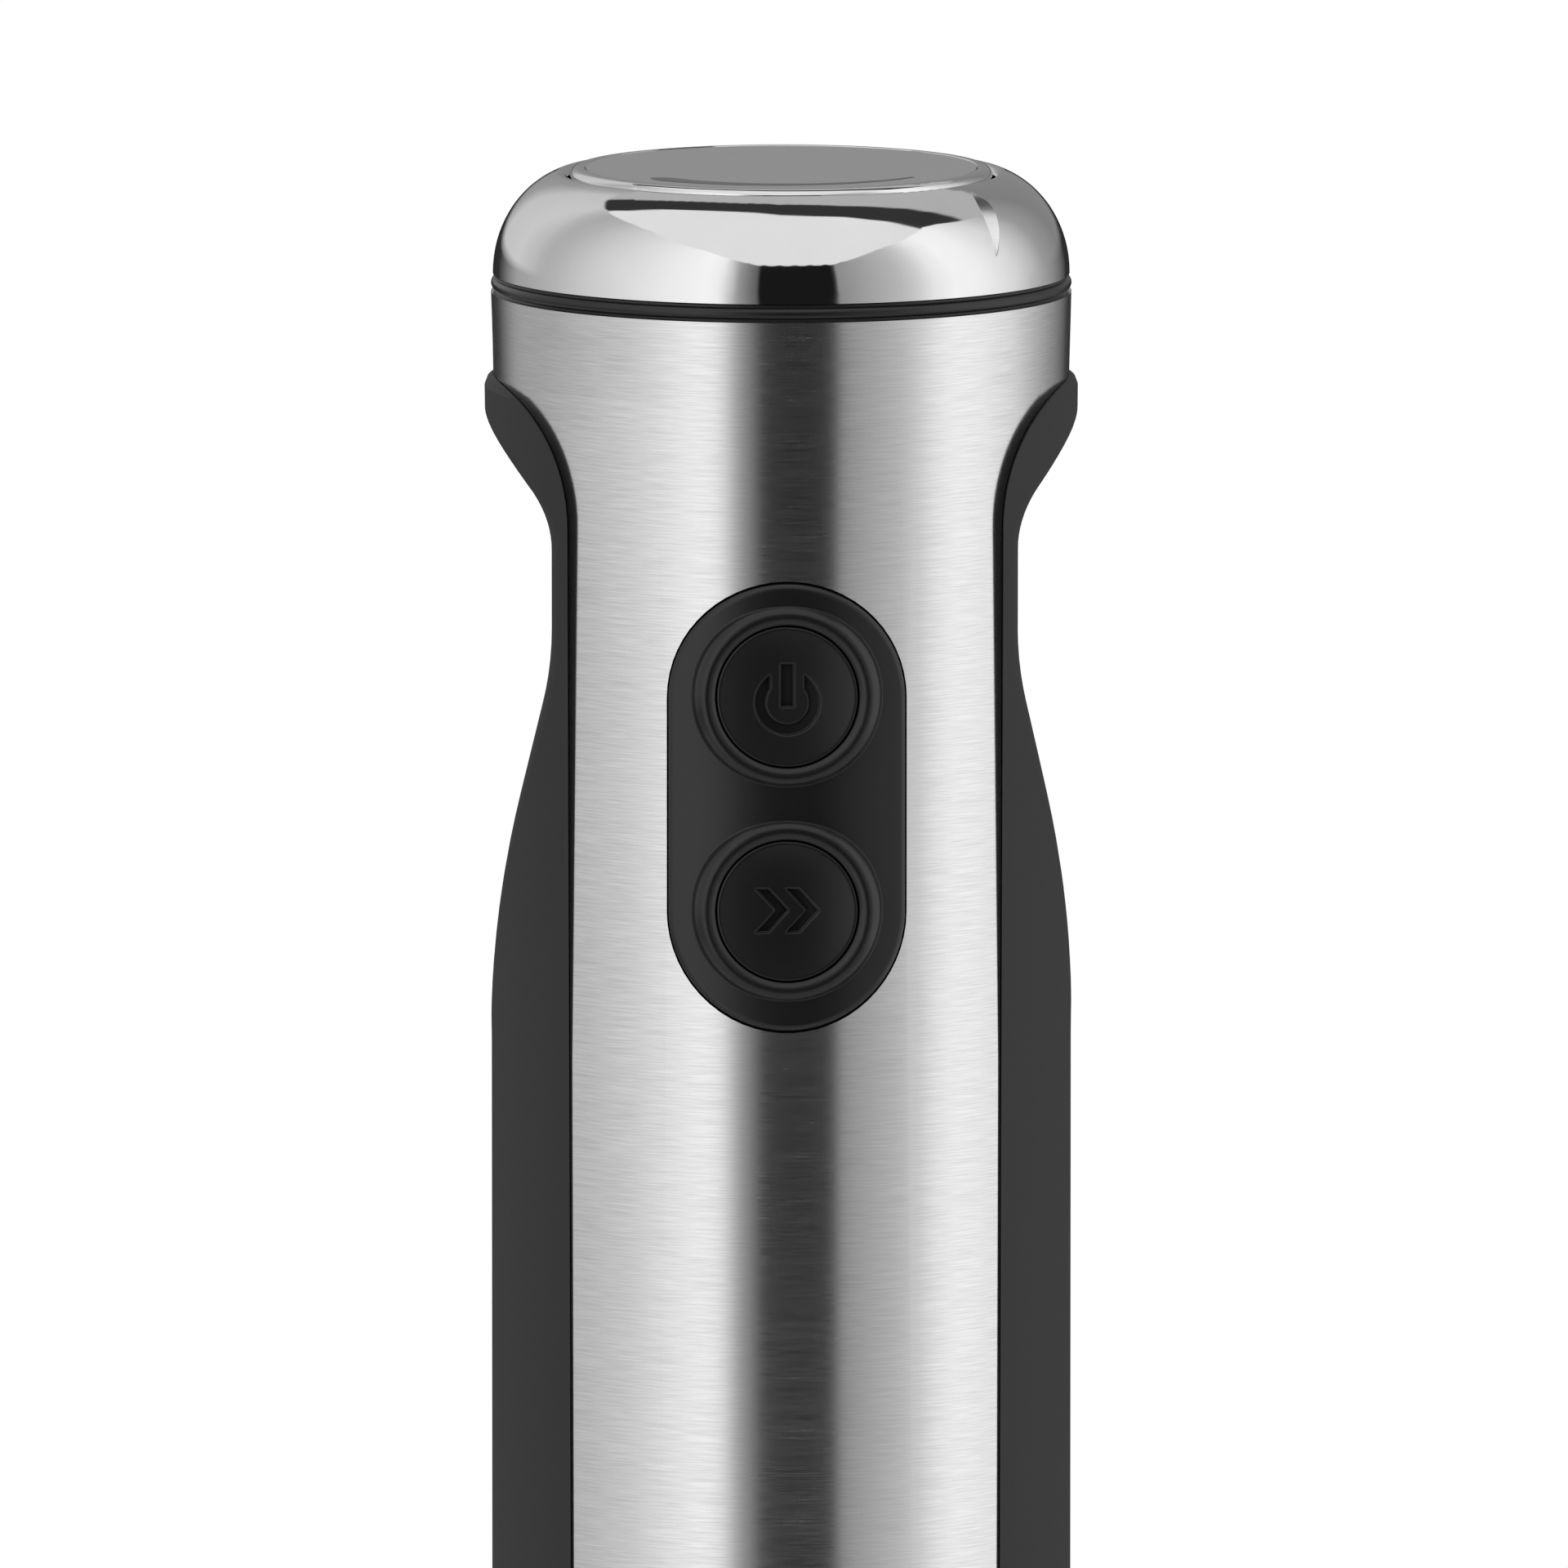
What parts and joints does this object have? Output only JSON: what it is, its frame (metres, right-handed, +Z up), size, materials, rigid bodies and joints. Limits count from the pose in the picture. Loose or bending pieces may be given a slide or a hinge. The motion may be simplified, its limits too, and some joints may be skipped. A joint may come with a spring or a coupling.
{
  "type": "immersion blender",
  "caption": "Stick blender: steel-sleeved motor handle with side grips, top speed dial and two push buttons, on a pull-off blending shaft with a flared bell and a two-wing blade.",
  "frame": {"origin": "centre of the bell rim's bottom plane, on the handle's axis", "axes": "+Z up the axis towards the speed dial, -Y to the front, where the two buttons are, +X to the right seen from the front"},
  "size_m": [0.067, 0.067, 0.405],
  "materials": {
    "brushed_steel": "brushed round the handle",
    "polished_steel": "fine satin polish",
    "chrome": "mirror bright plating",
    "pointer_metal": "satin bright plating",
    "grip_rubber": "soft touch, matte",
    "pad_rubber": "smooth silicone, satin",
    "black_plastic": "fine moulded grain",
    "inner_plastic": "moulded",
    "grey_disc": "painted satin grey",
    "circuit_board": "solder mask",
    "component_plastic": "moulded",
    "aluminium": "cast and extruded",
    "lamination_steel": "stacked sheet",
    "copper_winding": "enamelled wire",
    "brass": "drawn",
    "carbon": "pressed carbon",
    "shaft_steel": "ground",
    "bearing_steel": "ground"
  },
  "bodies": {
    "motor_handle": {"steel_sleeve": "brushed_steel", "grip_right": "grip_rubber", "grip_left": "grip_rubber", "chassis_right": "inner_plastic", "chassis_left": "inner_plastic", "chassis_screws": "bearing_steel", "potentiometer": "aluminium", "top_carrier": "black_plastic", "disc_bezel": "chrome", "centre_disc": "grey_disc", "dial_seal": "pad_rubber", "button_pad": "pad_rubber", "pad_backplate": "inner_plastic", "control_board": "circuit_board", "power_switch": "component_plastic", "boost_switch": "component_plastic", "noise_capacitor": "component_plastic", "triac_heatsink": "aluminium", "terminal_block": "component_plastic", "cord_gland": "black_plastic", "lower_bearing_bracket": "aluminium", "upper_bearing_bracket": "aluminium", "lower_bearing": "bearing_steel", "upper_bearing": "bearing_steel", "motor_stator": "lamination_steel", "field_coils": "copper_winding", "motor_mount_ring": "pad_rubber", "brush_holders": "brass", "carbon_brushes": "carbon", "collar_trim_ring": "chrome", "coupling_collar": "black_plastic"},
    "speed_dial": {"dial_ring": "chrome", "dial_pointer": "pointer_metal", "dial_gear_ring": "inner_plastic"},
    "speed_pot": {"pot_pinion": "inner_plastic"},
    "power_button": {"power_button": "pad_rubber"},
    "boost_button": {"boost_button": "pad_rubber"},
    "release_right": {"release_button_right": "grip_rubber"},
    "release_left": {"release_button_left": "grip_rubber"},
    "rotor": {"motor_shaft": "shaft_steel", "armature_core": "lamination_steel", "armature_windings": "copper_winding", "commutator": "copper_winding", "cooling_fan": "inner_plastic", "drive_coupling": "black_plastic"},
    "blending_shaft": {"shaft_collar": "black_plastic", "coupling_seal": "pad_rubber", "shaft_tube": "polished_steel", "blending_bell": "polished_steel", "upper_bush": "brass", "lower_bush": "brass", "shaft_seal": "pad_rubber"},
    "blade_unit": {"drive_shaft": "shaft_steel", "driven_coupling": "black_plastic", "blade": "shaft_steel", "blade_hub": "shaft_steel", "retaining_clip": "shaft_steel"}
  },
  "joints": [
    {"name": "dial_turn", "type": "hinge", "parent": "motor_handle", "child": "speed_dial", "pos_m": [0, 0, 0.3935], "axis": [0, 0, 1], "range_deg": [-105, 0]},
    {"name": "pot_turn", "type": "hinge", "parent": "motor_handle", "child": "speed_pot", "pos_m": [0, 0.0126, 0.388], "axis": [0, 0, 1], "range_deg": [-294, 0]},
    {"name": "power_press", "type": "slide", "parent": "motor_handle", "child": "power_button", "axis": [0, 1, 0], "range_m": [0, 0.0012], "stiffness_N_per_m": 2000, "springref_m": -0.0005},
    {"name": "boost_press", "type": "slide", "parent": "motor_handle", "child": "boost_button", "axis": [0, 1, 0], "range_m": [0, 0.0012], "stiffness_N_per_m": 2000, "springref_m": -0.0005},
    {"name": "release_right_press", "type": "slide", "parent": "motor_handle", "child": "release_right", "axis": [-1, 0, 0], "range_m": [0, 0.0025], "stiffness_N_per_m": 1500, "springref_m": -0.001},
    {"name": "release_left_press", "type": "slide", "parent": "motor_handle", "child": "release_left", "axis": [1, 0, 0], "range_m": [0, 0.0025], "stiffness_N_per_m": 1500, "springref_m": -0.001},
    {"name": "motor_spin", "type": "hinge", "parent": "motor_handle", "child": "rotor", "pos_m": [0, 0, 0.25], "axis": [0, 0, 1], "continuous": true},
    {"name": "shaft_pull", "type": "slide", "parent": "motor_handle", "child": "blending_shaft", "axis": [0, 0, -1], "range_m": [0, 0.07]},
    {"name": "blade_spin", "type": "hinge", "parent": "blending_shaft", "child": "blade_unit", "pos_m": [0, 0, 0.1], "axis": [0, 0, 1], "continuous": true}
  ],
  "couplings": [
    {"joint": "pot_turn", "follows": "dial_turn", "ratio": 2.8},
    {"joint": "blade_spin", "follows": "motor_spin", "ratio": 1}
  ]
}
